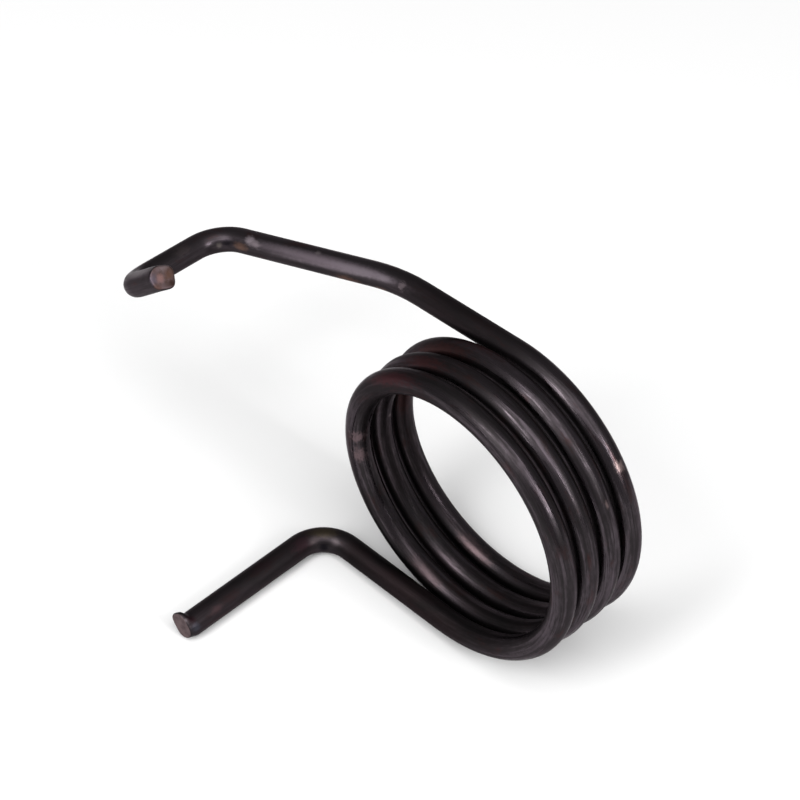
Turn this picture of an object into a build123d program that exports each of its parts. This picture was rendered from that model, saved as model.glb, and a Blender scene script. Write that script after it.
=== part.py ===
from build123d import *

import os
from math import acos, atan2, copysign, cos, degrees, hypot, pi, radians, sin

# A left-hand torsion spring, bent and wound from one length of round wire. The coil's axis lies
# along Y, with the front of the spring at -Y. Z is up, as the spring rests on its side: on the
# bottoms of its turns and on the lower leg. The origin is on the axis, midway along the coil.
# Angles about the axis run from +X towards +Z. Lengths are in millimetres.

# Wire
wire_diameter = 3.0

# Coil, wound from the lower leg at the front to the upper leg at the back
coil_inner_diameter = 31.0      # inside the turns
turn_gap = 0.5                  # free space between neighbouring turns
full_turns = 3                  # whole turns, counted from +X
coil_end_angle = 100.0          # past the last whole turn, where the upper leg leaves
lead_in_draw = 0.5              # how much tighter in radius the lower leg draws the first quarter turn

# Legs: a length runs from corner to corner of the centreline, before the bends are rounded
bend_inner_radius = 2.85
lower_reach = 19.3              # coil to the lower corner
lower_run = 22.5                # lower corner to the tip, along the axis
upper_reach = 19.0              # coil to the kink
kink_inner_radius = 27.0
upper_run = 26.6                # kink to the hook's corner
upper_drop = 17.4               # fall of the upper run below level, in degrees
upper_lean = 11.0               # lean of the upper run towards the front, in degrees
end_run = 14.8                  # hook's corner to its nose
end_run_rise = 3.4              # rise of the end run towards the front, in degrees
stub_length = 9.2               # nose to the stub's tip
stub_angle = 46.3               # the stub's direction about the axis

# Sheared ends: the blade draws the wire in where it enters and leaves a lip on the far side
sheared_length = 1.5            # how much of the end the blade works on
flare_share = 0.8               # share of it that widens
flank_pinch = 0.05              # what the wire loses on each flank, across the blade's travel
lip_squareness = 3.5            # power of the lip's outline: 2 is round
lower_lip_height = 0.6
lower_lip_angle = 141.0         # the lip's direction about the axis
lower_draw_in = 0.3             # opposite the lip
stub_lip_height = 0.4
stub_lip_angle = 157.0          # from the front, towards the stub's underside
stub_draw_in = 0.0
face_tilt = 3.0                 # fall of the face towards the lip, in degrees
rim_depth = 0.25                # roll of the face's rim, along the wire
rim_width = 0.2                 # and across it
outline_points = 24

# Derived sizes
wire_radius = wire_diameter / 2
coil_radius = coil_inner_diameter / 2 + wire_radius
lead_in_radius = coil_radius - lead_in_draw
bend_radius = bend_inner_radius + wire_radius
kink_radius = kink_inner_radius + wire_radius
pitch = wire_diameter + turn_gap
lead_in_pitch = pitch * lead_in_radius / coil_radius    # keeps the tangent where the two helices meet
coil_sweep = 360 * full_turns + coil_end_angle

# The lower leg slopes down just enough to lie on the floor that the turns lie on
corner_distance = hypot(lower_reach, lead_in_radius)
leg_slope = degrees(atan2(lower_reach, lead_in_radius) - acos(coil_radius / corner_distance))
lead_in_sweep = 90 - leg_slope

coil_rise = pitch * coil_sweep / 360
lead_in_rise = lead_in_pitch * lead_in_sweep / 360
front_y = -(coil_rise + lead_in_rise) / 2

front = Vector(0, -1, 0)
up = Vector(0, 0, 1)


def about_axis(angle):
    """Direction square to the coil's axis, at an angle from +X towards +Z."""
    return Vector(cos(radians(angle)), 0, sin(radians(angle)))


def turned(direction, towards, angle):
    """Direction turned by an angle towards another that is square to it."""
    return direction * cos(radians(angle)) + towards * sin(radians(angle))


def face_point(turn, lip_height, draw_in, inset):
    """Point of a sheared face's outline: half an ellipse, and a squarer half on the lip's side."""
    half_width = wire_radius - flank_pinch - inset
    if cos(turn) < 0:
        return ((wire_radius - draw_in - inset) * cos(turn), half_width * sin(turn))
    power = 2 / lip_squareness
    along = (wire_radius + lip_height - inset) * cos(turn) ** power
    across = half_width * abs(sin(turn)) ** power
    return (along, copysign(across, sin(turn)))


def face_section(plane, lip_height, draw_in, inset):
    """Section of a sheared end near its face, drawn in from its outline by an inset."""
    turns = [2 * pi * index / outline_points for index in range(outline_points)]
    with BuildSketch(plane) as section:
        with BuildLine():
            Spline([face_point(turn, lip_height, draw_in, inset) for turn in turns], periodic=True)
        make_face()
    return section.sketch


def wire_section(plane):
    """Round section of the wire."""
    with BuildSketch(plane) as section:
        Circle(wire_radius)
    return section.sketch


def sheared_sections(tip, direction, lip_direction, lip_height, draw_in):
    """Sections of a sheared end: round wire, then the flare, the face's rim and the face."""
    tip_plane = Plane(origin=tip, x_dir=lip_direction, z_dir=direction)
    face_normal = turned(direction, lip_direction, face_tilt)
    face_plane = Plane(origin=tip, x_dir=turned(lip_direction, -direction, face_tilt), z_dir=face_normal)
    return [
        wire_section(tip_plane.offset(-sheared_length)),
        wire_section(tip_plane.offset(-sheared_length * flare_share)),
        face_section(face_plane.offset(-rim_depth), lip_height, draw_in, 0),
        face_section(face_plane, lip_height, draw_in, rim_width),
    ]


# Centreline: two helices that meet with one tangent on +X, and a bent line at each end
coil_start = Vector(0, front_y + lead_in_rise, 0)
lead_in_start = Vector(coil_radius - lead_in_radius, front_y, 0)
lead_in_plane = Plane(origin=lead_in_start, x_dir=about_axis(-lead_in_sweep), z_dir=(0, 1, 0))
coil_plane = Plane(origin=coil_start, x_dir=(1, 0, 0), z_dir=(0, 1, 0))
lead_in = lead_in_plane * Helix(lead_in_pitch, lead_in_rise, lead_in_radius, lefthand=True)
coil = coil_plane * Helix(pitch, coil_rise, coil_radius, lefthand=True)

upper_direction = turned(about_axis(180 + upper_drop), front, upper_lean)
end_direction = turned(front, up, end_run_rise)
stub_direction = about_axis(stub_angle)
stub_underside = about_axis(stub_angle - 90)
stub_lip_direction = turned(front, stub_underside, stub_lip_angle)
lower_lip_direction = about_axis(lower_lip_angle)

lower_corner = (lead_in @ 0) - (lead_in % 0) * lower_reach
lower_tip = lower_corner + front * lower_run
kink = (coil @ 1) + (coil % 1) * upper_reach
hook_corner = kink + upper_direction * upper_run
nose = hook_corner + end_direction * end_run
stub_tip = nose + stub_direction * stub_length

with BuildLine() as centreline:
    FilletPolyline(lower_tip - front * sheared_length, lower_corner, lead_in @ 0, radius=bend_radius)
    add(lead_in)
    add(coil)
    FilletPolyline(
        coil @ 1,
        kink,
        hook_corner,
        nose,
        stub_tip - stub_direction * sheared_length,
        radius=[kink_radius, bend_radius, bend_radius],
    )

with BuildPart() as spring_wire:
    with BuildSketch(Plane(origin=centreline.line @ 0, z_dir=centreline.line % 0)):
        Circle(wire_radius)
    sweep(path=centreline.line)
    loft(sheared_sections(lower_tip, front, lower_lip_direction, lower_lip_height, lower_draw_in))
    loft(sheared_sections(stub_tip, stub_direction, stub_lip_direction, stub_lip_height, stub_draw_in))

spring_wire.part.label = "spring_wire"
os.makedirs("parts", exist_ok=True)
export_step(spring_wire.part, "parts/spring_wire.step")
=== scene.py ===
from math import acos, atan2, cos, copysign, floor, hypot, pi, radians, sin, sqrt, tan

import bmesh
import bpy
from bpy.props import FloatProperty, FloatVectorProperty, IntProperty, PointerProperty
from mathutils import Matrix, Vector


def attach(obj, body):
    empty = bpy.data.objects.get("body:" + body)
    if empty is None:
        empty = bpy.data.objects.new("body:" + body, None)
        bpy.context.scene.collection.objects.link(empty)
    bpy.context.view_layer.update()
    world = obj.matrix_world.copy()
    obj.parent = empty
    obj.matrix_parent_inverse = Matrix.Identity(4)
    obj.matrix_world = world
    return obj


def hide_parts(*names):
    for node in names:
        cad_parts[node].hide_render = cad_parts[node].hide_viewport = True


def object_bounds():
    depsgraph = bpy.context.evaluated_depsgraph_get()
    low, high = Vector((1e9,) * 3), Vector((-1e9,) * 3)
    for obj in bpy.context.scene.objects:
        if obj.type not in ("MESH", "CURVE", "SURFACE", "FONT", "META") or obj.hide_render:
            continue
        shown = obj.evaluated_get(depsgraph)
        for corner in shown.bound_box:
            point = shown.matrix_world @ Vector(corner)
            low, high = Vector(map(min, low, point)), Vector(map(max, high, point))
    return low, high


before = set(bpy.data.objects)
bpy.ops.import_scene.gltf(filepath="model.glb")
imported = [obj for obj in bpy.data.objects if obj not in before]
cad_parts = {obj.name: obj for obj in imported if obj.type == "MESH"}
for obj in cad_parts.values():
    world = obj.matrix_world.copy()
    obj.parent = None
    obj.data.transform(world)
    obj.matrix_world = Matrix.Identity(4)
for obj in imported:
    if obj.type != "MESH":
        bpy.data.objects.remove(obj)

bl_info = {
    "name": "Torsion spring",
    "version": (1, 0, 0),
    "blender": (4, 5, 0),
    "location": "View3D > Sidebar > Torsion spring",
    "description": "Winds, shears and blackens a left-hand torsion spring on a white table",
    "category": "Object",
}

# The coil's axis lies along Y with the front of the spring at -Y, and Z is up. The origin is on the
# axis, midway along the coil. Angles about the axis run from +X towards +Z. Lengths are in metres.
CAD_LOW, CAD_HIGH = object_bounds()
FRONT = Vector((0, -1, 0))
BACK = Vector((0, 1, 0))
UP = Vector((0, 0, 1))
ROUNDING = 1e-7               # holds the sheared faces inside the solid's box
MILLIMETRES = 1000.0          # in a metre: the finish is laid out in millimetres
RING_TOLERANCE = 0.01         # share of the wire's radius that a point may be off its ring
SMOOTH_ANGLE = radians(40)    # sharper edges than this stay sharp
RIM_STATIONS = (0.0, 0.12, 0.3, 0.6, 1.0)    # rings on the rim, as shares of its depth
FLARE_RINGS = 6

TABLE_SIZE = 4.0
TABLE_CLEARANCE = 0.00002     # keeps the table's face just under the wire
TABLE_WHITE = (0.82, 0.82, 0.82, 1)
TABLE_ROUGHNESS = 0.9
ROOM_WHITE = (1, 1, 1, 1)
SENSOR_WIDTH = 36.0
LENS_SHIFT = 0.000625         # half a pixel, to the left and up

# Soft lamps: name, azimuth and elevation in degrees, distance, width, height, and which of the
# stage's values is its brightness
LAMPS = (
    ("front_softbox", -97, 40, 0.5, 0.15, 0.34, "key_radiance"),
    ("side_softbox", 5, 34, 0.5, 0.115, 0.20, "side_radiance"),
    ("overhead_cloth", -48, 69, 0.6, 0.85, 0.52, "top_radiance"),
)


class WireSizes(bpy.types.PropertyGroup):
    """Sizes of the wire, its coil and its two legs."""

    wire_diameter: FloatProperty(
        name="Wire diameter", description="Stock size of the wire", default=0.003,
        min=0.0005, unit="LENGTH")
    coil_inner_diameter: FloatProperty(
        name="Coil inner diameter", description="Free bore inside the turns", default=0.031,
        unit="LENGTH")
    turn_gap: FloatProperty(
        name="Turn gap", description="Free space between neighbouring turns", default=0.0005,
        unit="LENGTH")
    full_turns: IntProperty(
        name="Whole turns", description="Whole turns, counted from +X", default=3, min=1)
    coil_end_angle: FloatProperty(
        name="Coil end angle", description="Past the last whole turn, where the upper leg leaves",
        default=radians(100.0), unit="ROTATION")
    lead_in_draw: FloatProperty(
        name="Lead-in draw", description="How much tighter the lower leg draws the first quarter turn",
        default=0.0005, unit="LENGTH")
    turn_squeeze: FloatProperty(
        name="Turn squeeze", description="How much closer the turns stand at their lower left",
        default=0.00013, unit="LENGTH")
    squeeze_angle: FloatProperty(
        name="Squeeze angle", description="Where the turns stand closest, about the axis",
        default=radians(220.0), unit="ROTATION")
    bend_inner_radius: FloatProperty(
        name="Bend inner radius", description="Inner radius of the leg's sharp bends",
        default=0.00285, unit="LENGTH")
    lower_reach: FloatProperty(
        name="Lower reach", description="Coil to the lower leg's corner", default=0.0193,
        unit="LENGTH")
    lower_run: FloatProperty(
        name="Lower run", description="Lower corner to the tip, along the axis", default=0.0225,
        unit="LENGTH")
    upper_reach: FloatProperty(
        name="Upper reach", description="Coil to the kink of the upper leg", default=0.0190,
        unit="LENGTH")
    kink_inner_radius: FloatProperty(
        name="Kink inner radius", description="Inner radius of the kink", default=0.0270,
        unit="LENGTH")
    upper_run: FloatProperty(
        name="Upper run", description="Kink to the hook's corner", default=0.0266, unit="LENGTH")
    upper_drop: FloatProperty(
        name="Upper drop", description="Fall of the upper run below level", default=radians(17.4),
        unit="ROTATION")
    upper_lean: FloatProperty(
        name="Upper lean", description="Lean of the upper run towards the front",
        default=radians(11.0), unit="ROTATION")
    end_run: FloatProperty(
        name="End run", description="Hook's corner to its nose", default=0.0148, unit="LENGTH")
    end_run_rise: FloatProperty(
        name="End run rise", description="Rise of the end run towards the front",
        default=radians(3.4), unit="ROTATION")
    stub_length: FloatProperty(
        name="Stub length", description="Nose to the stub's tip", default=0.0092, unit="LENGTH")
    stub_angle: FloatProperty(
        name="Stub angle", description="The stub's direction about the axis",
        default=radians(46.3), unit="ROTATION")


class ShearSizes(bpy.types.PropertyGroup):
    """Sizes of the two sheared ends."""

    sheared_length: FloatProperty(
        name="Sheared length", description="How much of the end the blade works on",
        default=0.0015, unit="LENGTH")
    flare_share: FloatProperty(
        name="Flare share", description="Share of the sheared length that widens", default=0.8,
        min=0.0, max=1.0, subtype="FACTOR")
    flank_pinch: FloatProperty(
        name="Flank pinch", description="What the wire loses on each flank", default=0.00005,
        unit="LENGTH")
    lip_squareness: FloatProperty(
        name="Lip squareness", description="Power of the lip's outline: 2 is round", default=3.5)
    lower_lip_height: FloatProperty(
        name="Lower lip height", description="How far the lower end's lip stands out",
        default=0.0006, unit="LENGTH")
    lower_lip_angle: FloatProperty(
        name="Lower lip angle", description="Direction of the lower end's lip about the axis",
        default=radians(141.0), unit="ROTATION")
    lower_draw_in: FloatProperty(
        name="Lower draw-in", description="What the lower end loses opposite its lip",
        default=0.0003, unit="LENGTH")
    stub_lip_height: FloatProperty(
        name="Stub lip height", description="How far the stub's lip stands out", default=0.0004,
        unit="LENGTH")
    stub_lip_angle: FloatProperty(
        name="Stub lip angle", description="From the front, towards the stub's underside",
        default=radians(157.0), unit="ROTATION")
    stub_draw_in: FloatProperty(
        name="Stub draw-in", description="What the stub loses opposite its lip", default=0.0,
        unit="LENGTH")
    face_tilt: FloatProperty(
        name="Face tilt", description="Fall of the face towards its lip", default=radians(3.0),
        unit="ROTATION")
    rim_depth: FloatProperty(
        name="Rim depth", description="Roll of the face's rim, along the wire", default=0.00025,
        unit="LENGTH")
    rim_width: FloatProperty(
        name="Rim width", description="Roll of the face's rim, across the wire", default=0.0002,
        unit="LENGTH")


class MeshSteps(bpy.types.PropertyGroup):
    """How finely the wire is divided."""

    columns: IntProperty(
        name="Columns", description="Faces around the wire", default=40, min=12)
    coil_step: FloatProperty(
        name="Coil step", description="Turn of the coil from ring to ring", default=radians(3.0),
        unit="ROTATION")
    bend_step: FloatProperty(
        name="Bend step", description="Turn of a sharp bend from ring to ring",
        default=radians(5.0), unit="ROTATION")
    straight_step: FloatProperty(
        name="Straight step", description="Spacing of the rings on a straight run",
        default=0.001, unit="LENGTH")


class StageValues(bpy.types.PropertyGroup):
    """The camera and the lamps."""

    azimuth: FloatProperty(
        name="Azimuth", description="Camera's turn from the front towards +X",
        default=radians(41.658), unit="ROTATION")
    elevation: FloatProperty(
        name="Elevation", description="Camera's height above level", default=radians(47.559),
        unit="ROTATION")
    roll: FloatProperty(
        name="Roll", description="Camera's turn about its own line of sight",
        default=radians(4.774), unit="ROTATION")
    distance: FloatProperty(
        name="Distance", description="Camera to the point it looks at", default=0.35094,
        unit="LENGTH")
    aim: FloatVectorProperty(
        name="Aim", description="Point that the camera looks at",
        default=(-0.012581, -0.001572, 0.006573), subtype="TRANSLATION")
    lens: FloatProperty(
        name="Lens", description="Focal length in millimetres on a 36 mm sensor", default=139.5)
    key_radiance: FloatProperty(
        name="Key light", description="Brightness of the front softbox", default=7.9)
    side_radiance: FloatProperty(
        name="Side light", description="Brightness of the side softbox", default=14.6)
    top_radiance: FloatProperty(
        name="Top light", description="Brightness of the overhead cloth", default=2.2)
    room_radiance: FloatProperty(
        name="Room light", description="Brightness of the room around the table", default=0.36)


# Moves of the coiling machine: each extrudes the selected ring of the wire and leaves the new one
# selected, and notes where the ring stands.


class Strand:
    """The wire as it is made: its rings' centres, directions and distances along the wire."""

    def __init__(self, start, direction):
        self.centres = [start.copy()]
        self.directions = [direction.copy()]
        self.lengths = [0.0]

    def note(self, centre, direction, step):
        self.centres.append(centre)
        self.directions.append(direction)
        self.lengths.append(self.lengths[-1] + step)

    @property
    def centre(self):
        return self.centres[-1]

    @property
    def direction(self):
        return self.directions[-1]


def feed(strand, length, rings):
    """Runs the wire straight ahead."""
    step = strand.direction * (length / rings)
    for _ in range(rings):
        bpy.ops.mesh.extrude_region_move(TRANSFORM_OT_translate={"value": step})
        strand.note(strand.centre + step, strand.direction, length / rings)


def bend(strand, new_direction, radius, largest_step):
    """Bends the wire round a pin until it runs in a new direction."""
    direction = strand.direction
    axis = direction.cross(new_direction).normalized()
    angle = direction.angle(new_direction)
    pin = strand.centre + axis.cross(direction) * radius
    rings = floor(angle / largest_step) + 1
    bpy.ops.mesh.spin(steps=rings, angle=-angle, center=pin, axis=axis)
    turn = Matrix.Rotation(angle / rings, 3, axis)
    for _ in range(rings):
        centre = pin + turn @ (strand.centre - pin)
        strand.note(centre, turn @ strand.direction, radius * angle / rings)


def wind(strand, axis_point, sweep, rise, rings):
    """Winds the wire about an axis along Y, from +X towards +Z."""
    turn = Matrix.Rotation(-sweep / rings, 3, "Y")
    lift = BACK * (rise / rings)
    radius = hypot(strand.centre.x - axis_point.x, strand.centre.z - axis_point.z)
    step = hypot(radius * sweep / rings, rise / rings)
    for _ in range(rings):
        bpy.ops.mesh.extrude_region_move(TRANSFORM_OT_translate={"value": lift})
        bpy.ops.transform.rotate(
            value=sweep / rings, orient_axis="Y", orient_type="GLOBAL", center_override=axis_point)
        centre = axis_point + turn @ (strand.centre - axis_point) + lift
        strand.note(centre, turn @ strand.direction, step)


def about_axis(angle):
    """Direction square to the coil's axis, at an angle from +X towards +Z."""
    return Vector((cos(angle), 0, sin(angle)))


def turned(direction, towards, angle):
    """Direction turned by an angle towards another that is square to it."""
    return direction * cos(angle) + towards * sin(angle)


def corner_loss(direction, new_direction, radius):
    """How much of a run a rounded corner takes."""
    return radius * tan(direction.angle(new_direction) / 2)


def deselect_all():
    """Leaves nothing selected in object mode."""
    bpy.ops.object.select_all(action="DESELECT")


def end_stations(shear):
    """Distances from the tip at which a sheared end has rings: close at the rim, wider behind it."""
    rim = [shear.rim_depth * share for share in RIM_STATIONS]
    flare = shear.sheared_length * shear.flare_share - shear.rim_depth
    rings = [shear.rim_depth + flare * (index + 1) / FLARE_RINGS for index in range(FLARE_RINGS)]
    return rim + rings + [shear.sheared_length]


def wind_wire(sizes, shear, steps):
    """Makes the wire's tube from the lower tip to the stub's tip, in one course of moves."""
    wire_radius = sizes.wire_diameter / 2
    coil_radius = sizes.coil_inner_diameter / 2 + wire_radius
    lead_in_radius = coil_radius - sizes.lead_in_draw
    bend_radius = sizes.bend_inner_radius + wire_radius
    kink_radius = sizes.kink_inner_radius + wire_radius
    pitch = sizes.wire_diameter + sizes.turn_gap
    coil_sweep = 2 * pi * sizes.full_turns + sizes.coil_end_angle
    corner_distance = hypot(sizes.lower_reach, lead_in_radius)
    leg_slope = atan2(sizes.lower_reach, lead_in_radius) - acos(coil_radius / corner_distance)
    lead_in_sweep = pi / 2 - leg_slope
    coil_rise = pitch * coil_sweep / (2 * pi)
    lead_in_rise = pitch * lead_in_radius / coil_radius * lead_in_sweep / (2 * pi)
    front_y = -(coil_rise + lead_in_rise) / 2

    # Directions of the runs
    helix_angle = atan2(pitch, 2 * pi * coil_radius)
    lead_in_heading = about_axis(pi / 2 - lead_in_sweep)
    reach_direction = turned(lead_in_heading, BACK, helix_angle)
    coil_end_heading = about_axis(pi / 2 + coil_sweep)
    upper_reach_direction = turned(coil_end_heading, BACK, helix_angle)
    upper_direction = turned(about_axis(pi + sizes.upper_drop), FRONT, sizes.upper_lean)
    end_direction = turned(FRONT, UP, sizes.end_run_rise)
    stub_direction = about_axis(sizes.stub_angle)

    lead_in_axis = Vector((coil_radius - lead_in_radius, 0, 0))
    lead_in_start = lead_in_axis + BACK * front_y + about_axis(-lead_in_sweep) * lead_in_radius
    lower_corner = lead_in_start - reach_direction * sizes.lower_reach
    lower_tip = lower_corner + FRONT * sizes.lower_run

    # The first ring stands at the lower tip, with its first corner towards the lip
    deselect_all()
    bpy.ops.mesh.primitive_circle_add(vertices=steps.columns, radius=wire_radius)
    piece = bpy.context.object
    piece.name = "blackened_wire"
    lip = about_axis(shear.lower_lip_angle)
    across = BACK.cross(lip)
    bpy.ops.object.mode_set(mode="EDIT")
    bpy.ops.mesh.select_all(action="SELECT")
    ring = bmesh.from_edit_mesh(piece.data)
    ring.verts.ensure_lookup_table()
    for index, vert in enumerate(ring.verts):
        turn = 2 * pi * index / steps.columns
        vert.co = lower_tip + (lip * cos(turn) + across * sin(turn)) * wire_radius
    bmesh.update_edit_mesh(piece.data)

    strand = Strand(lower_tip, BACK)
    stations = end_stations(shear)

    def run(length):
        feed(strand, length, floor(length / steps.straight_step) + 1)

    for near, far in zip(stations, stations[1:]):
        feed(strand, far - near, 1)
    corner = corner_loss(BACK, reach_direction, bend_radius)
    run(sizes.lower_run - shear.sheared_length - corner)
    bend(strand, reach_direction, bend_radius, steps.bend_step)
    run(sizes.lower_reach - corner)
    wind(strand, lead_in_axis, lead_in_sweep, lead_in_rise, floor(lead_in_sweep / steps.coil_step) + 1)
    first_ring = len(strand.centres) - 1
    wind(strand, Vector(), coil_sweep, coil_rise, floor(coil_sweep / steps.coil_step) + 1)
    last_ring = len(strand.centres) - 1
    kink_corner = corner_loss(upper_reach_direction, upper_direction, kink_radius)
    hook_corner = corner_loss(upper_direction, end_direction, bend_radius)
    nose_corner = corner_loss(end_direction, stub_direction, bend_radius)
    run(sizes.upper_reach - kink_corner)
    bend(strand, upper_direction, kink_radius, steps.coil_step)
    run(sizes.upper_run - kink_corner - hook_corner)
    bend(strand, end_direction, bend_radius, steps.bend_step)
    run(sizes.end_run - hook_corner - nose_corner)
    bend(strand, stub_direction, bend_radius, steps.bend_step)
    run(sizes.stub_length - nose_corner - shear.sheared_length)
    for far, near in zip(reversed(stations), list(reversed(stations))[1:]):
        feed(strand, far - near, 1)
    bpy.ops.object.mode_set(mode="OBJECT")
    check_rings(piece, strand, steps.columns, wire_radius)
    for ring in range(first_ring, last_ring):
        angle = coil_sweep * (ring - first_ring) / (last_ring - first_ring)
        near = max(0.0, cos(angle - sizes.squeeze_angle)) ** 2
        shift = sizes.turn_squeeze * near * (0.5 - floor(angle / (2 * pi)))
        strand.centres[ring].y += shift
        for vert in piece.data.vertices[ring * steps.columns:(ring + 1) * steps.columns]:
            vert.co.y += shift
    return piece, strand


def check_rings(piece, strand, columns, wire_radius):
    """Stops where the tube's points don't stand ring by ring on the strand."""
    verts = piece.data.vertices
    if len(verts) != len(strand.centres) * columns:
        raise RuntimeError(f"the wire has {len(verts)} points for {len(strand.centres)} rings")
    for index, vert in enumerate(verts):
        off = (vert.co - strand.centres[index // columns]).length - wire_radius
        if abs(off) > wire_radius * RING_TOLERANCE:
            raise RuntimeError(f"point {index} of the wire is {off * MILLIMETRES:.3f} mm off its ring")


def face_point(turn, half_width, lip_reach, heel_reach, squareness):
    """Point of a sheared face's outline: half an ellipse, and a squarer half on the lip's side."""
    if cos(turn) < 0:
        return heel_reach * cos(turn), half_width * sin(turn)
    power = 2 / squareness
    return lip_reach * cos(turn) ** power, copysign(half_width * abs(sin(turn)) ** power, sin(turn))


def shear_end(piece, strand, rings, outward, lip, lip_height, draw_in, shear, columns, radius):
    """Presses the rings of one end to the sheared shape, from the tip inwards."""
    across = outward.cross(lip)
    tilted_lip = lip * cos(shear.face_tilt) - outward * sin(shear.face_tilt)
    tilted_out = outward * cos(shear.face_tilt) + lip * sin(shear.face_tilt)
    tip = strand.centres[rings[0]] - outward * ROUNDING
    flare_start = shear.sheared_length * shear.flare_share
    for ring in rings:
        centre = strand.centres[ring]
        depth = (strand.centres[rings[0]] - centre).length
        rolled = max(0.0, 1 - depth / shear.rim_depth)
        inset = shear.rim_width * (1 - sqrt(1 - rolled * rolled))
        share = min(1.0, max(0.0, (flare_start - depth) / (flare_start - shear.rim_depth)))
        share = share * share * (3 - 2 * share)
        half_width = radius - shear.flank_pinch - inset
        lip_reach = radius + lip_height - inset
        heel_reach = radius - draw_in - inset
        for column in range(columns):
            vert = piece.data.vertices[ring * columns + column]
            arm = vert.co - centre
            turn = atan2(arm.dot(across), arm.dot(lip))
            along, side = face_point(turn, half_width, lip_reach, heel_reach, shear.lip_squareness)
            pressed = tip + tilted_lip * along + across * side - tilted_out * depth
            vert.co = vert.co.lerp(pressed, share)


def select_ring(piece, ring, columns):
    """Selects one ring of the wire in edit mode."""
    bpy.ops.mesh.select_all(action="DESELECT")
    mesh = bmesh.from_edit_mesh(piece.data)
    mesh.verts.ensure_lookup_table()
    for column in range(columns):
        mesh.verts[ring * columns + column].select = True
    mesh.select_flush(True)
    bmesh.update_edit_mesh(piece.data)


def close_ends(piece, rings, columns):
    """Fills both faces with a grid."""
    bpy.ops.object.mode_set(mode="EDIT")
    bpy.ops.mesh.select_mode(type="VERT")
    for ring in (0, rings - 1):
        select_ring(piece, ring, columns)
        bpy.ops.mesh.fill_grid(span=columns // 4)
    bpy.ops.mesh.select_all(action="SELECT")
    bpy.ops.mesh.normals_make_consistent(inside=False)
    bpy.ops.object.mode_set(mode="OBJECT")


def straighten(piece, strand, rings, columns):
    """Keeps where each point would lie if the wire were straight along Z."""
    values = piece.data.attributes.new("straight_wire", "FLOAT_VECTOR", "POINT")
    flat = []
    last = rings * columns
    arms = {}
    for end in (0, rings - 1):
        first = piece.data.vertices[end * columns].co - strand.centres[end]
        along = strand.directions[end]
        first = (first - along * first.dot(along)).normalized()
        arms[end] = (first, along.cross(first))
    for index, vert in enumerate(piece.data.vertices):
        if index < last:
            ring, column = divmod(index, columns)
            turn = 2 * pi * column / columns
            out = (vert.co - strand.centres[ring]).length
            flat += [cos(turn) * out, sin(turn) * out, strand.lengths[ring]]
        else:
            end = min(arms, key=lambda ring: (vert.co - strand.centres[ring]).length)
            arm = vert.co - strand.centres[end]
            first, second = arms[end]
            flat += [arm.dot(first), arm.dot(second), strand.lengths[end]]
    values.data.foreach_set("vector", flat)


def put(tree, kind, feeds=None, **settings):
    """Adds a shader node, sets its options and feeds its inputs with values or other nodes' sockets."""
    node = tree.nodes.new(kind)
    for name, value in settings.items():
        setattr(node, name, value)
    for socket, value in (feeds or {}).items():
        if isinstance(value, bpy.types.NodeSocket):
            tree.links.new(value, node.inputs[socket])
        else:
            node.inputs[socket].default_value = value
    return node


def new_group(name, inputs, outputs):
    """Empty shader node group with its sockets: returns the tree and its input and output nodes."""
    tree = bpy.data.node_groups.new(name, "ShaderNodeTree")
    for direction, sockets in (("INPUT", inputs), ("OUTPUT", outputs)):
        for socket, kind in sockets.items():
            tree.interface.new_socket(socket, in_out=direction, socket_type="NodeSocket" + kind)
    return tree, tree.nodes.new("NodeGroupInput").outputs, tree.nodes.new("NodeGroupOutput").inputs


def noise(tree, place, cells, detail, roughness, shift):
    """Noise over the straight wire: cells in a millimetre on each axis, detail, roughness, shift."""
    scaled = put(tree, "ShaderNodeVectorMath", {0: place, 1: cells, 2: (shift, shift, shift)},
                 operation="MULTIPLY_ADD")
    return put(tree, "ShaderNodeTexNoise", {
        "Vector": scaled.outputs[0], "Scale": 1.0, "Detail": detail, "Roughness": roughness}).outputs[0]


def ramp(tree, value, low, high, bottom=0.0, top=1.0):
    """Smooth step of a value from bottom to top."""
    return put(tree, "ShaderNodeMapRange", {
        "Value": value, "From Min": low, "From Max": high, "To Min": bottom, "To Max": top},
        interpolation_type="SMOOTHSTEP").outputs[0]


def sums(tree, operation, first, second):
    """One arithmetic step."""
    return put(tree, "ShaderNodeMath", {0: first, 1: second}, operation=operation).outputs[0]


def mix(tree, share, first, second):
    """Mixes two values."""
    return put(tree, "ShaderNodeMix", {0: share, 2: first, 3: second}).outputs[0]


def blend(tree, share, first, second):
    """Mixes two colours."""
    return put(tree, "ShaderNodeMix", {0: share, 6: first, 7: second}, data_type="RGBA").outputs[2]


def stretches(tree, along, wire_length, stops):
    """Value that changes along the wire, from its stops: distance in millimetres and value."""
    share = sums(tree, "DIVIDE", along, wire_length)
    node = put(tree, "ShaderNodeValToRGB", {0: share})
    elements = node.color_ramp.elements
    elements.remove(elements[1])
    for index, (distance, value) in enumerate(stops):
        element = elements[0] if index == 0 else elements.new(distance / wire_length)
        element.position = distance / wire_length
        element.color = (value, value, value, 1)
    return node.outputs[0]


# Noises of the finish: cells in a millimetre across, across and along the wire, detail, roughness
# and shift
BROAD_LINES = ((1.6, 1.6, 0.07), 2.0, 0.5, 0.0)
FINE_LINES = ((5.5, 5.5, 0.22), 3.0, 0.6, 7.0)
BROKEN_LINES = ((2.6, 2.6, 0.9), 3.0, 0.6, 13.0)
CLOUDS = ((0.3, 0.3, 0.1), 3.0, 0.6, 21.0)
RUST_PATCHES = ((0.7, 0.7, 0.22), 4.0, 0.65, 33.0)
MARK_EDGES = ((3.2, 3.2, 1.6), 3.0, 0.65, 4.0)
END_GRAIN = ((0.8, 0.8, 0.8), 4.0, 0.55, 51.0)

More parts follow.
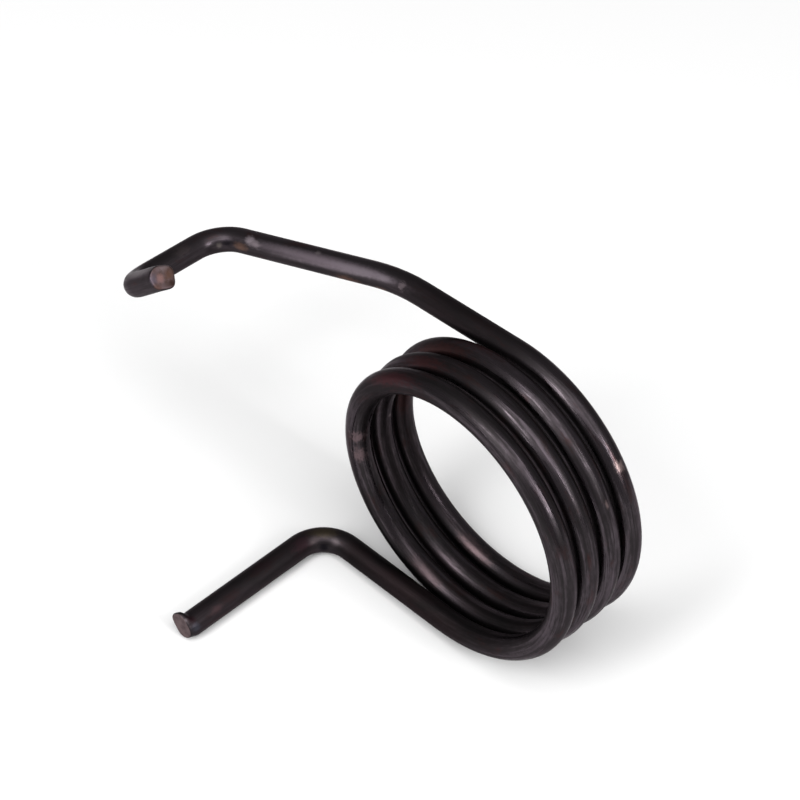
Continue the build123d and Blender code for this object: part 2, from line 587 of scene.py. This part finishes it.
BROAD_SHARE, FINE_SHARE, BROKEN_SHARE = 0.45, 0.35, 0.2
LINES_RANGE = (0.41, 0.66)
CLOUDS_RANGE = (0.35, 0.68)
RUST_RANGE = (0.54, 0.72)
MARK_RANGE = (1.6, 0.2)       # from a mark's outside to its full strength, in spreads


def drawn_oxide_group():
    """Lines that drawing and coiling leave along the wire, and the cloudy oxide over them."""
    tree, given, found = new_group(
        "drawn_oxide", {"Place": "Vector"}, {"Lines": "Float", "Cloud": "Float", "Rust": "Float"})
    place = given["Place"]
    broad = sums(tree, "MULTIPLY", noise(tree, place, *BROAD_LINES), BROAD_SHARE)
    fine = sums(tree, "MULTIPLY", noise(tree, place, *FINE_LINES), FINE_SHARE)
    broken = sums(tree, "MULTIPLY", noise(tree, place, *BROKEN_LINES), BROKEN_SHARE)
    lines = sums(tree, "ADD", sums(tree, "ADD", broad, fine), broken)
    tree.links.new(ramp(tree, lines, *LINES_RANGE), found["Lines"])
    tree.links.new(ramp(tree, noise(tree, place, *CLOUDS), *CLOUDS_RANGE), found["Cloud"])
    tree.links.new(ramp(tree, noise(tree, place, *RUST_PATCHES), *RUST_RANGE), found["Rust"])
    return tree


def mark_group():
    """Spot on the wire: its centre and spreads in millimetres, and how ragged it is."""
    tree, given, found = new_group(
        "mark", {"Place": "Vector", "Centre": "Vector", "Spread": "Vector", "Ragged": "Float"},
        {"Mask": "Float"})
    away = put(tree, "ShaderNodeVectorMath", {0: given["Place"], 1: given["Centre"]},
               operation="SUBTRACT")
    scaled = put(tree, "ShaderNodeVectorMath", {0: away.outputs[0], 1: given["Spread"]},
                 operation="DIVIDE")
    reach = put(tree, "ShaderNodeVectorMath", {0: scaled.outputs[0]}, operation="LENGTH").outputs[1]
    ragged = noise(tree, given["Place"], *MARK_EDGES)
    off = sums(tree, "MULTIPLY", sums(tree, "SUBTRACT", ragged, 0.5), given["Ragged"])
    tree.links.new(ramp(tree, sums(tree, "ADD", reach, off), *MARK_RANGE), found["Mask"])
    return tree


# Marks on the wire, some of them painted highlights: place around it in degrees and along it in
# millimetres, spread around and along in millimetres, raggedness, colour, roughness and strength
MARKS = (
    (71, 0.25, 0.25, 0.3, 0.6, (0.200, 0.165, 0.176), 0.40, 0.8),        # nick on the lower lip
    (94, 4.2, 0.45, 0.9, 2.0, (0.052, 0.032, 0.035), 0.50, 0.8),         # red-brown patches on the leg
    (84, 6.5, 0.5, 1.3, 2.5, (0.026, 0.015, 0.016), 0.50, 0.7),
    (52, 12.3, 0.6, 1.6, 2.5, (0.024, 0.014, 0.016), 0.50, 0.7),
    (66, 0.8, 0.45, 0.5, 1.5, (0.034, 0.016, 0.020), 0.45, 0.9),         # red-brown behind the lip
    (111, 0.9, 0.5, 0.6, 1.5, (0.050, 0.050, 0.065), 0.35, 0.7),         # blue sheen beside it
    (50, 21.5, 0.7, 1.6, 1.5, (0.070, 0.055, 0.035), 0.45, 0.7),         # olive tint on the lower bend
    (79, 18.2, 0.9, 1.4, 2.0, (0.046, 0.024, 0.030), 0.45, 0.7),         # red tint before it
    (86, 20.0, 0.5, 0.7, 1.0, (0.062, 0.049, 0.052), 0.45, 0.8),         # rubbed by the bending pin, painted lighter as highlights either side of the pin mark
    (95, 23.4, 0.5, 0.6, 1.0, (0.068, 0.056, 0.060), 0.45, 0.8),
    (128, 21.6, 0.6, 0.8, 1.0, (0.008, 0.007, 0.010), 0.50, 0.9),        # dark pin mark in the bend
    (95, 119.2, 0.8, 0.8, 3.0, (0.170, 0.118, 0.128), 0.50, 0.8),        # scuffs on the front turn
    (93, 122.3, 0.7, 1.0, 3.0, (0.150, 0.104, 0.112), 0.50, 0.8),
    (86, 140.8, 0.9, 2.5, 2.0, (0.065, 0.045, 0.049), 0.38, 0.6),        # painted highlights on the inside of the bore
    (121, 247.3, 0.9, 2.5, 2.0, (0.062, 0.047, 0.053), 0.38, 0.6),
    (85, 355.8, 0.9, 2.5, 2.0, (0.076, 0.052, 0.055), 0.38, 0.7),
    (41, 225.4, 0.25, 0.25, 1.0, (0.150, 0.120, 0.125), 0.40, 0.8),      # specks and nicks on the turns
    (-131, 289.1, 0.2, 0.4, 2.0, (0.180, 0.130, 0.130), 0.40, 0.8),
    (-131, 398.5, 0.5, 0.6, 3.0, (0.260, 0.190, 0.185), 0.40, 0.9),
    (-94, 312.0, 1.0, 3.5, 2.5, (0.050, 0.022, 0.023), 0.40, 0.75),      # red-brown tops of the turns
    (169, 316.4, 1.1, 4.5, 2.5, (0.052, 0.022, 0.021), 0.40, 0.75),
    (83, 330.6, 0.9, 3.5, 2.5, (0.050, 0.022, 0.022), 0.40, 0.75),
    (-178, 103.5, 0.75, 3.8, 2.2, (0.056, 0.020, 0.023), 0.42, 0.85),
    (-171, 208.5, 0.75, 3.2, 2.2, (0.054, 0.021, 0.022), 0.42, 0.85),
    (180, 445.0, 0.66, 9.5, 0.45, (0.265, 0.216, 0.250), 0.34, 0.9),     # painted highlight band along the upper leg
    (177, 439.5, 0.42, 4.2, 0.5, (0.370, 0.310, 0.355), 0.30, 0.75),
    (176, 436.0, 0.30, 1.0, 0.6, (0.400, 0.340, 0.385), 0.30, 0.6),      # painted glint where the leg's highlight ends at the kink, then a tool mark
    (176, 433.2, 0.45, 0.45, 2.5, (0.200, 0.160, 0.175), 0.40, 0.8),
    (110, 441.5, 0.6, 1.6, 2.5, (0.120, 0.066, 0.052), 0.50, 0.8),       # rust under the leg
    (105, 436.5, 0.4, 0.9, 2.5, (0.150, 0.090, 0.070), 0.50, 0.8),
    (-149, 445.9, 0.3, 0.35, 2.0, (0.200, 0.170, 0.180), 0.40, 0.8),
    (-168, 455.7, 0.5, 0.6, 1.4, (0.330, 0.280, 0.310), 0.45, 0.9),      # scuffs beside the upper bend
    (178, 454.8, 0.4, 0.8, 1.4, (0.300, 0.250, 0.275), 0.45, 0.8),
    (152, 456.9, 0.5, 0.9, 1.6, (0.150, 0.088, 0.068), 0.50, 0.8),
    (158, 459.2, 0.5, 0.9, 1.2, (0.012, 0.010, 0.013), 0.40, 0.9),       # dark pin mark inside it
    (148, 460.8, 0.35, 0.45, 1.2, (0.140, 0.120, 0.115), 0.40, 0.8),
    (-158, 466.5, 0.7, 1.0, 2.0, (0.070, 0.056, 0.058), 0.45, 0.6),
    (-78, 479.3, 0.52, 2.6, 0.8, (0.240, 0.218, 0.226), 0.45, 0.8),      # painted highlight along the stub's top edge
)


# Painted shade: where the colour is darkened as shade and the oxide made rougher, on the lower leg, at
# the tops of the turns and on the upper reach up to the kink: distance along the wire in millimetres and
# how much
DULL_AND_SHADED_STRETCHES = (
    (0, 0.45), (13, 0.6), (18, 0.55), (20.5, 0.3), (23.6, 0.35), (25.8, 0.85), (40, 0.85), (54, 0.0),
    (93, 0.0), (99, 0.42), (109, 0.42), (117, 0.0),
    (199, 0.0), (206, 0.42), (217, 0.42), (225, 0.0),
    (306, 0.0), (313, 0.42), (325, 0.42), (333, 0.0),
    (410, 0.0), (419, 0.65), (427, 0.75), (434, 0.35), (438, 0.0))

# Spots on the stub's face: place across it in millimetres from its middle, spread, colour and strength
FACE_SPOTS = (
    (1.0, -0.4, 0.6, (0.120, 0.098, 0.125), 0.8),    # blue-grey where the blade came in
    (-0.9, -1.0, 0.6, (0.200, 0.155, 0.160), 0.7),   # pale rim
    (0.15, 0.0, 0.5, (0.270, 0.155, 0.145), 0.8),    # bright middle
    (-1.1, 0.3, 0.6, (0.105, 0.056, 0.040), 0.85),   # brown
    (-0.9, 1.4, 0.6, (0.040, 0.022, 0.018), 0.9),    # dark lip
    (1.1, 0.7, 0.5, (0.110, 0.060, 0.050), 0.7),
)


# Colours of the finish
OXIDE_DARK = (0.0251, 0.0217, 0.0233, 1)
OXIDE_PALE = (0.0775, 0.0631, 0.0733, 1)
OXIDE_CLOUD = (0.0235, 0.0208, 0.0216, 1)
RUST_BROWN = (0.047, 0.0195, 0.018, 1)
# Colours of the painted shade, warm or cold with the cloud
SHADE_WARM = (0.0135, 0.0088, 0.0092, 1)
SHADE_COLD = (0.0075, 0.0080, 0.0078, 1)
BARE_LOWER = (0.165, 0.122, 0.124, 1)
BARE_STUB = (0.150, 0.105, 0.110, 1)
STAINED_LOWER = (0.088, 0.064, 0.067, 1)
STAINED_STUB = (0.085, 0.055, 0.050, 1)
EDGE_TINT = (0.60, 0.575, 0.59, 1)

# How much of each layer shows, and how rough it is
CLOUD_SHARE = 0.55
RUST_SHARE = 0.5
PLAIN_LEG_SHARE = 0.65        # how far the drawing lines fade out on the legs
PLAIN_LEG_LINES = 0.4
ROUGH_BETWEEN_LINES = 0.42
ROUGH_ON_LINES = 0.09
ROUGHER_LEGS = 0.08
ROUGH_WHERE_DULL = 0.55
ROUGH_FACES = 0.55

# Places on the straight wire, in millimetres
LOWER_LEG_FADE = (40.0, 26.0)
UPPER_LEG_FADE = (400.0, 425.0)
SHADED_BORE_FADE = (0.3, 1.3, 0.0, 0.38)    # painted shade on the bore side: across the wire, from none to its most
SHADED_BORE_START = (121.0, 146.0)
FACE_FADE = (0.17, 0.09)      # bare metal ends within this of the tip
FACE_RAGGED = 0.16
FACE_SPLIT = (1.0, 3.0)       # tells the lower face from the stub's
STAIN_RANGE = (0.35, 0.65)
FACE_SPOT_DEPTH = 0.2
FACE_SPOT_RAGGED = 1.2

# Relief, in steps of the bump's distance in metres
BUMP_DISTANCE = 0.000006
LINES_RELIEF = 1.2
CLOUD_RELIEF = 1.5
GRAIN_RELIEF = 9.0


def spot_mask(tree, marks, place, centre, spread, ragged, strength):
    """Mask of one spot on the wire, at its strength."""
    spot = put(tree, "ShaderNodeGroup", {
        "Place": place, "Centre": centre, "Spread": spread, "Ragged": ragged}, node_tree=marks)
    return sums(tree, "MULTIPLY", spot.outputs[0], strength)


def add_marks(tree, marks, place, wire_radius, color, rough):
    """Lays the marks over the oxide: returns its colour and roughness."""
    for around, along, wide, long, ragged, tint, shine, strength in MARKS:
        turn = radians(around)
        centre = (wire_radius * cos(turn), wire_radius * sin(turn), along)
        share = spot_mask(tree, marks, place, centre, (wide, wide, long), ragged, strength)
        color = blend(tree, share, color, (*tint, 1))
        rough = mix(tree, share, rough, shine)
    return color, rough


def add_faces(tree, marks, place, along, wire_length, grain, color, rough):
    """Bares the metal on the two sheared faces: returns colour, roughness and where it is bare."""
    to_end = sums(tree, "MINIMUM", along, sums(tree, "SUBTRACT", wire_length, along))
    ragged = sums(tree, "ADD", to_end, sums(tree, "MULTIPLY", grain, FACE_RAGGED))
    bare = ramp(tree, ragged, *FACE_FADE)
    upper = ramp(tree, along, *FACE_SPLIT)
    face = blend(tree, ramp(tree, grain, *STAIN_RANGE),
                 blend(tree, upper, STAINED_LOWER, STAINED_STUB),
                 blend(tree, upper, BARE_LOWER, BARE_STUB))
    color = blend(tree, bare, color, face)
    for across, down, wide, tint, strength in FACE_SPOTS:
        share = spot_mask(tree, marks, place, (across, down, wire_length),
                          (wide, wide, FACE_SPOT_DEPTH), FACE_SPOT_RAGGED, strength)
        color = blend(tree, share, color, (*tint, 1))
    return color, mix(tree, bare, rough, ROUGH_FACES), bare


def wire_material(wire_radius, wire_length):
    """Blackened wire: a dark oxide with drawing lines, brown tints, rubbed places and bare end faces,
    with painted shade and painted highlights laid over it.
    """
    material = bpy.data.materials.new("blackened_spring_steel")
    material.use_nodes = True
    tree = material.node_tree
    surface = tree.nodes["Principled BSDF"]
    straight = put(tree, "ShaderNodeAttribute", attribute_name="straight_wire")
    place = put(tree, "ShaderNodeVectorMath", {0: straight.outputs["Vector"], "Scale": MILLIMETRES},
                operation="SCALE").outputs[0]
    split = put(tree, "ShaderNodeSeparateXYZ", {0: place}).outputs
    along = split["Z"]
    oxide = put(tree, "ShaderNodeGroup", {"Place": place}, node_tree=drawn_oxide_group())
    lines, cloud, rust = (oxide.outputs[name] for name in ("Lines", "Cloud", "Rust"))

    on_leg = sums(
        tree, "ADD", ramp(tree, along, *LOWER_LEG_FADE), ramp(tree, along, *UPPER_LEG_FADE))
    lines = mix(tree, sums(tree, "MULTIPLY", on_leg, PLAIN_LEG_SHARE), lines, PLAIN_LEG_LINES)
    color = blend(tree, lines, OXIDE_DARK, OXIDE_PALE)
    color = blend(tree, sums(tree, "MULTIPLY", cloud, CLOUD_SHARE), color, OXIDE_CLOUD)
    color = blend(tree, sums(tree, "MULTIPLY", rust, RUST_SHARE), color, RUST_BROWN)
    # Painted shade on the bore side of the turns after the front one, where they lie in shade inside the
    # coil
    shaded_bore_side = sums(tree, "MULTIPLY", ramp(tree, split["Y"], *SHADED_BORE_FADE),
                     ramp(tree, along, *SHADED_BORE_START))
    # Painted shade and duller oxide: darker colour and higher roughness along the stretches and on the
    # bore side
    dull_and_shade = sums(tree, "MAXIMUM", stretches(tree, along, wire_length, DULL_AND_SHADED_STRETCHES), shaded_bore_side)
    # Painted shade: the colour goes dark where the wire lies in shade
    color = blend(tree, dull_and_shade, color, blend(tree, cloud, SHADE_WARM, SHADE_COLD))
    rough = ramp(tree, lines, 0.0, 1.0, ROUGH_BETWEEN_LINES, ROUGH_ON_LINES)
    rough = sums(tree, "ADD", rough, sums(tree, "MULTIPLY", on_leg, ROUGHER_LEGS))
    rough = mix(tree, dull_and_shade, rough, ROUGH_WHERE_DULL)

    marks = mark_group()
    color, rough = add_marks(tree, marks, place, wire_radius, color, rough)
    grain = noise(tree, place, *END_GRAIN)
    color, rough, bare = add_faces(tree, marks, place, along, wire_length, grain, color, rough)

    relief = sums(tree, "ADD", sums(tree, "MULTIPLY", lines, LINES_RELIEF),
                  sums(tree, "MULTIPLY", cloud, CLOUD_RELIEF))
    relief = sums(tree, "ADD", relief, sums(
        tree, "MULTIPLY", sums(tree, "MULTIPLY", grain, bare), GRAIN_RELIEF))
    bump = put(tree, "ShaderNodeBump", {"Strength": 1.0, "Distance": BUMP_DISTANCE, "Height": relief})
    tree.links.new(color, surface.inputs["Base Color"])
    tree.links.new(rough, surface.inputs["Roughness"])
    tree.links.new(bump.outputs[0], surface.inputs["Normal"])
    surface.inputs["Metallic"].default_value = 1.0
    surface.inputs["Specular Tint"].default_value = EDGE_TINT
    return material


class SPRING_OT_wire(bpy.types.Operator):
    """Winds the spring from one wire, shears its ends and blackens it"""

    bl_idname = "spring.wire"
    bl_label = "Wind the spring"

    def execute(self, context):
        sizes, shear, steps = (
            context.scene.wire_sizes, context.scene.shear_sizes, context.scene.mesh_steps)
        columns, radius = steps.columns, sizes.wire_diameter / 2
        piece, strand = wind_wire(sizes, shear, steps)
        rings = len(strand.centres)
        pressed = len(end_stations(shear))
        shear_end(piece, strand, range(pressed), FRONT, about_axis(shear.lower_lip_angle),
                  shear.lower_lip_height, shear.lower_draw_in, shear, columns, radius)
        stub_underside = about_axis(sizes.stub_angle - pi / 2)
        shear_end(piece, strand, range(rings - 1, rings - 1 - pressed, -1), strand.direction,
                  turned(FRONT, stub_underside, shear.stub_lip_angle),
                  shear.stub_lip_height, shear.stub_draw_in, shear, columns, radius)
        close_ends(piece, rings, columns)
        straighten(piece, strand, rings, columns)
        deselect_all()
        piece.select_set(True)
        bpy.ops.object.shade_smooth_by_angle(angle=SMOOTH_ANGLE)
        piece.data.materials.append(
            wire_material(radius * MILLIMETRES, strand.lengths[-1] * MILLIMETRES))
        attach(piece, "root")
        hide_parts("spring_wire")
        return {"FINISHED"}


def area_lamp(name, azimuth, elevation, distance, width, height, radiance):
    """Adds a soft lamp at a distance from the origin, turned towards it."""
    azimuth, elevation = radians(azimuth), radians(elevation)
    heading = Vector((cos(azimuth) * cos(elevation), sin(azimuth) * cos(elevation), sin(elevation)))
    bpy.ops.object.light_add(type="AREA", location=heading * distance)
    lamp = bpy.context.object
    lamp.name = name
    lamp.rotation_euler = heading.to_track_quat("Z", "Y").to_euler()
    lamp.data.shape = "RECTANGLE"
    lamp.data.size = width
    lamp.data.size_y = height
    lamp.data.energy = radiance * pi * width * height


def table_material():
    """Matt white table, the same for every ray, so that the wire reflects what the camera sees."""
    material = bpy.data.materials.new("white_table")
    material.use_nodes = True
    surface = material.node_tree.nodes["Principled BSDF"]
    surface.inputs["Base Color"].default_value = TABLE_WHITE
    surface.inputs["Roughness"].default_value = TABLE_ROUGHNESS
    surface.inputs["Specular IOR Level"].default_value = 0.0
    return material


class SPRING_OT_stage(bpy.types.Operator):
    """Sets the table, the soft lamps, the room and the camera"""

    bl_idname = "spring.stage"
    bl_label = "Set the stage"

    def execute(self, context):
        stage = context.scene.stage_values
        deselect_all()
        bpy.ops.mesh.primitive_plane_add(
            size=TABLE_SIZE, location=(0, 0, CAD_LOW.z - TABLE_CLEARANCE))
        table = bpy.context.object
        table.name = "table"
        table.data.materials.append(table_material())

        for *lamp, brightness in LAMPS:
            area_lamp(*lamp, getattr(stage, brightness))

        world = bpy.data.worlds.new("room")
        context.scene.world = world
        world.use_nodes = True
        room = world.node_tree.nodes["Background"]
        room.inputs["Strength"].default_value = stage.room_radiance
        room.inputs["Color"].default_value = ROOM_WHITE

        back = Vector((
            sin(stage.azimuth) * cos(stage.elevation),
            -cos(stage.azimuth) * cos(stage.elevation),
            sin(stage.elevation)))
        bpy.ops.object.camera_add(location=Vector(stage.aim) + back * stage.distance)
        camera = bpy.context.object
        camera.rotation_mode = "QUATERNION"
        level = (-back).to_track_quat("-Z", "Y").to_matrix()
        camera.rotation_quaternion = (level @ Matrix.Rotation(stage.roll, 3, "Z")).to_quaternion()
        camera.data.lens = stage.lens
        camera.data.sensor_width = SENSOR_WIDTH
        camera.data.shift_x = -LENS_SHIFT
        camera.data.shift_y = LENS_SHIFT
        context.scene.camera = camera
        context.scene.view_settings.view_transform = "Standard"
        return {"FINISHED"}


class SPRING_PT_panel(bpy.types.Panel):
    """Lists the spring's sizes and its two steps"""

    bl_idname = "SPRING_PT_panel"
    bl_label = "Torsion spring"
    bl_space_type = "VIEW_3D"
    bl_region_type = "UI"
    bl_category = "Torsion spring"

    def draw(self, context):
        layout = self.layout
        for group in ("wire_sizes", "shear_sizes", "mesh_steps", "stage_values"):
            values = getattr(context.scene, group)
            box = layout.box()
            box.label(text=group.replace("_", " ").capitalize())
            for name in values.__annotations__:
                box.prop(values, name)
        layout.operator(SPRING_OT_wire.bl_idname)
        layout.operator(SPRING_OT_stage.bl_idname)


CLASSES = (
    WireSizes, ShearSizes, MeshSteps, StageValues, SPRING_OT_wire, SPRING_OT_stage, SPRING_PT_panel)


def register():
    for cls in CLASSES:
        bpy.utils.register_class(cls)
    bpy.types.Scene.wire_sizes = PointerProperty(type=WireSizes)
    bpy.types.Scene.shear_sizes = PointerProperty(type=ShearSizes)
    bpy.types.Scene.mesh_steps = PointerProperty(type=MeshSteps)
    bpy.types.Scene.stage_values = PointerProperty(type=StageValues)


def unregister():
    del bpy.types.Scene.stage_values
    del bpy.types.Scene.mesh_steps
    del bpy.types.Scene.shear_sizes
    del bpy.types.Scene.wire_sizes
    for cls in reversed(CLASSES):
        bpy.utils.unregister_class(cls)


def main():
    register()
    bpy.ops.spring.wire()
    bpy.ops.spring.stage()


if __name__ == "__main__":
    main()
